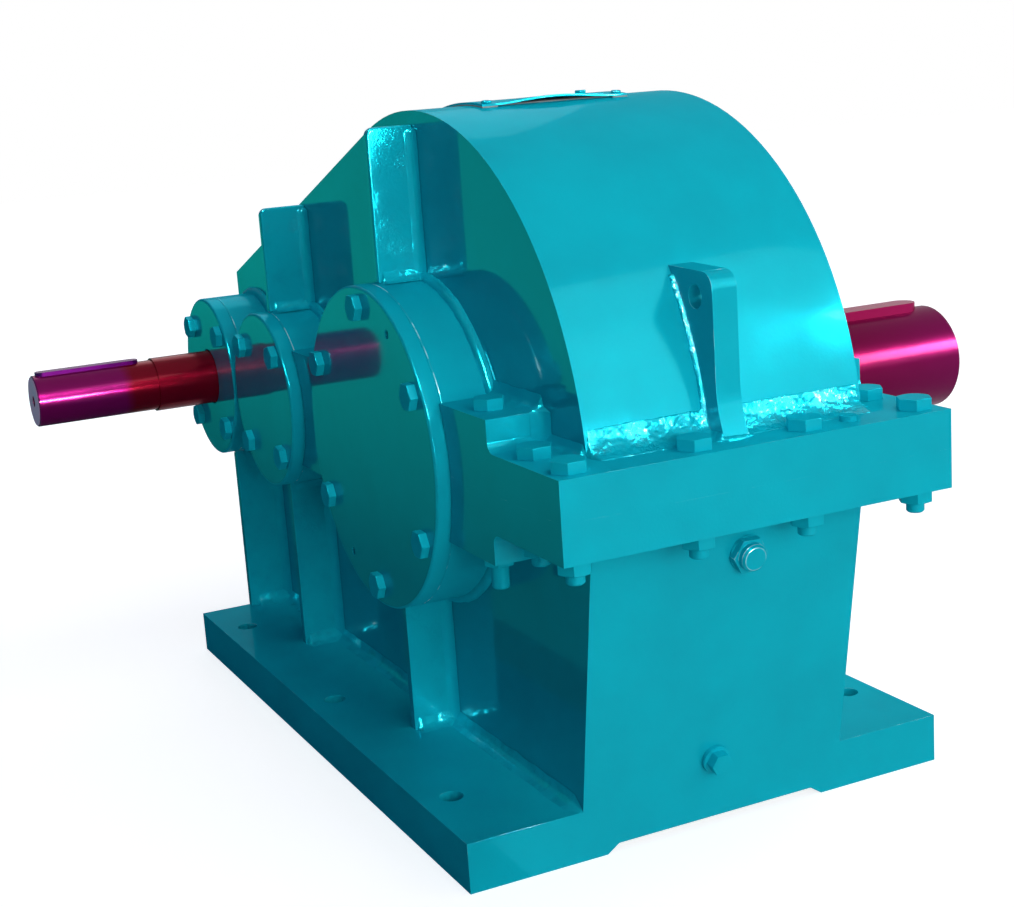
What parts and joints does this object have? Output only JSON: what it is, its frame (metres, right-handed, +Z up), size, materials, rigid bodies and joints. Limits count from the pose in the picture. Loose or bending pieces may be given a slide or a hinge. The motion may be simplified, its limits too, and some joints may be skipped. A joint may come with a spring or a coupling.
{
  "type": "parallel-shaft helical gearbox",
  "caption": "Closed helical gearbox with two reduction stages in a welded, horizontally split casing, with keyed input and output shafts on opposite sides.",
  "frame": {"origin": "centre of the foundation bolt pattern on the underside of the feet", "axes": "+X along the shafts towards the output shaft end, +Y along the casing from the output axis to the input axis, +Z up"},
  "size_m": [1.108, 1.272, 0.821],
  "materials": {
    "teal_paint": "glossy teal enamel over welded steel",
    "plug_paint": "glossy teal enamel, worn at the edges",
    "gasket": "dark fibre gasket",
    "seal_washer": "annealed copper washer",
    "seal_rubber": "matt",
    "shaft_red": "glossy crimson lacquer on ground steel",
    "key_pink": "glossy",
    "key_violet": "glossy",
    "cage_brass": "machined",
    "bearing_steel": "ground",
    "gear_steel": "machined and oiled"
  },
  "bodies": {
    "casing": {"lower_casing": "teal_paint", "lower_flange": "teal_paint", "lower_housings": "teal_paint", "lower_ribs": "teal_paint", "upper_casing": "teal_paint", "upper_flange": "teal_paint", "upper_housings": "teal_paint", "upper_ribs": "teal_paint", "lifting_lugs": "teal_paint", "inspection_cover": "teal_paint", "inspection_gasket": "gasket", "inspection_screws": "teal_paint", "vent_plug": "teal_paint", "flange_bolts": "teal_paint", "flange_nuts": "teal_paint", "boss_bolts": "teal_paint", "boss_nuts": "teal_paint", "dowel_pins": "teal_paint", "cover_out_blind": "teal_paint", "cover_out_through": "teal_paint", "cover_mid_left": "teal_paint", "cover_mid_right": "teal_paint", "cover_in_through": "teal_paint", "cover_in_blind": "teal_paint", "cover_gaskets": "gasket", "cover_screws": "teal_paint", "level_plug": "plug_paint", "drain_plug": "teal_paint", "seal_washers": "seal_washer", "oil_seals": "seal_rubber", "outer_rings_out": "bearing_steel", "outer_rings_mid": "bearing_steel", "outer_rings_in": "bearing_steel"},
    "output": {"output_shaft": "shaft_red", "wheel_rim": "gear_steel", "wheel_hub": "gear_steel", "wheel_key": "gear_steel", "spacer_out": "gear_steel", "output_key": "key_pink", "inner_rings_out": "bearing_steel"},
    "intermediate": {"mid_shaft": "gear_steel", "high_wheel": "gear_steel", "high_wheel_key": "gear_steel", "spacer_mid": "gear_steel", "inner_rings_mid": "bearing_steel"},
    "input": {"input_shaft": "shaft_red", "input_key": "key_violet", "inner_rings_in": "bearing_steel"},
    "bearing_out_left": {"cage_out_left": "cage_brass", "rollers_out_left": "bearing_steel"},
    "bearing_out_right": {"cage_out_right": "cage_brass", "rollers_out_right": "bearing_steel"},
    "bearing_mid_left": {"cage_mid_left": "cage_brass", "rollers_mid_left": "bearing_steel"},
    "bearing_mid_right": {"cage_mid_right": "cage_brass", "rollers_mid_right": "bearing_steel"},
    "bearing_in_left": {"cage_in_left": "cage_brass", "rollers_in_left": "bearing_steel"},
    "bearing_in_right": {"cage_in_right": "cage_brass", "rollers_in_right": "bearing_steel"}
  },
  "joints": [
    {"name": "output_turn", "type": "hinge", "parent": "casing", "child": "output", "pos_m": [0, -0.158, 0.422], "axis": [1, 0, 0], "continuous": true},
    {"name": "intermediate_turn", "type": "hinge", "parent": "casing", "child": "intermediate", "pos_m": [0, 0.242, 0.422], "axis": [1, 0, 0], "continuous": true},
    {"name": "input_turn", "type": "hinge", "parent": "casing", "child": "input", "pos_m": [0, 0.492, 0.422], "axis": [1, 0, 0], "continuous": true},
    {"name": "rollers_out_left_turn", "type": "hinge", "parent": "casing", "child": "bearing_out_left", "pos_m": [0, -0.158, 0.422], "axis": [1, 0, 0], "continuous": true},
    {"name": "rollers_out_right_turn", "type": "hinge", "parent": "casing", "child": "bearing_out_right", "pos_m": [0, -0.158, 0.422], "axis": [1, 0, 0], "continuous": true},
    {"name": "rollers_mid_left_turn", "type": "hinge", "parent": "casing", "child": "bearing_mid_left", "pos_m": [0, 0.242, 0.422], "axis": [1, 0, 0], "continuous": true},
    {"name": "rollers_mid_right_turn", "type": "hinge", "parent": "casing", "child": "bearing_mid_right", "pos_m": [0, 0.242, 0.422], "axis": [1, 0, 0], "continuous": true},
    {"name": "rollers_in_left_turn", "type": "hinge", "parent": "casing", "child": "bearing_in_left", "pos_m": [0, 0.492, 0.422], "axis": [1, 0, 0], "continuous": true},
    {"name": "rollers_in_right_turn", "type": "hinge", "parent": "casing", "child": "bearing_in_right", "pos_m": [0, 0.492, 0.422], "axis": [1, 0, 0], "continuous": true}
  ],
  "couplings": [
    {"joint": "intermediate_turn", "follows": "output_turn", "ratio": -3.9},
    {"joint": "input_turn", "follows": "output_turn", "ratio": 13.473},
    {"joint": "rollers_out_left_turn", "follows": "output_turn", "ratio": 0.43333},
    {"joint": "rollers_out_right_turn", "follows": "output_turn", "ratio": 0.43333},
    {"joint": "rollers_mid_left_turn", "follows": "output_turn", "ratio": -1.5864},
    {"joint": "rollers_mid_right_turn", "follows": "output_turn", "ratio": -1.5864},
    {"joint": "rollers_in_left_turn", "follows": "output_turn", "ratio": 5.879},
    {"joint": "rollers_in_right_turn", "follows": "output_turn", "ratio": 5.879}
  ]
}
